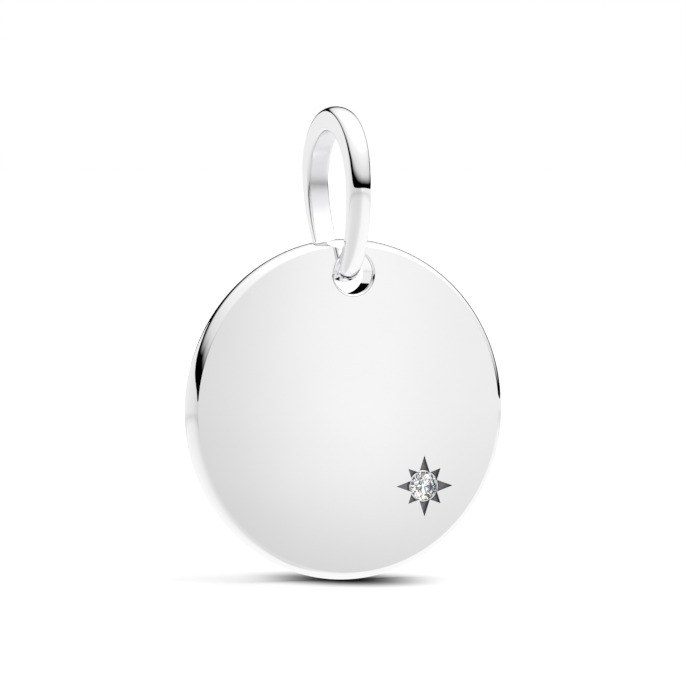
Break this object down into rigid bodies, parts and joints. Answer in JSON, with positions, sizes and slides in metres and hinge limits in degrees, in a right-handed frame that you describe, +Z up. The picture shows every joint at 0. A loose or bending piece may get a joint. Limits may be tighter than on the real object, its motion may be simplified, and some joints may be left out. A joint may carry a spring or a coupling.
{
  "type": "disc pendant",
  "caption": "Round silver disc pendant on an egg-shaped bail ring, with a small round stone in a cut star at the lower right.",
  "frame": {"origin": "where the chain bears: the middle of the bail's inner top", "axes": "+Z up as the pendant hangs, the disc's front looks along -Y, and the chain runs along X"},
  "size_m": [0.02, 0.0079, 0.0278],
  "materials": {
    "silver": "mirror-polished silver, with the cut star darkened to a dark grey",
    "stone": "clear faceted stone"
  },
  "bodies": {
    "bail": {"bail": "silver"},
    "disc": {"disc": "silver", "stone": "stone"}
  },
  "joints": [
    {"name": "disc_swing", "type": "hinge", "parent": "bail", "child": "disc", "pos_m": [0.00026, -0.00177, -0.00828], "axis": [0, -1, 0], "range_deg": [-91, 97]}
  ]
}
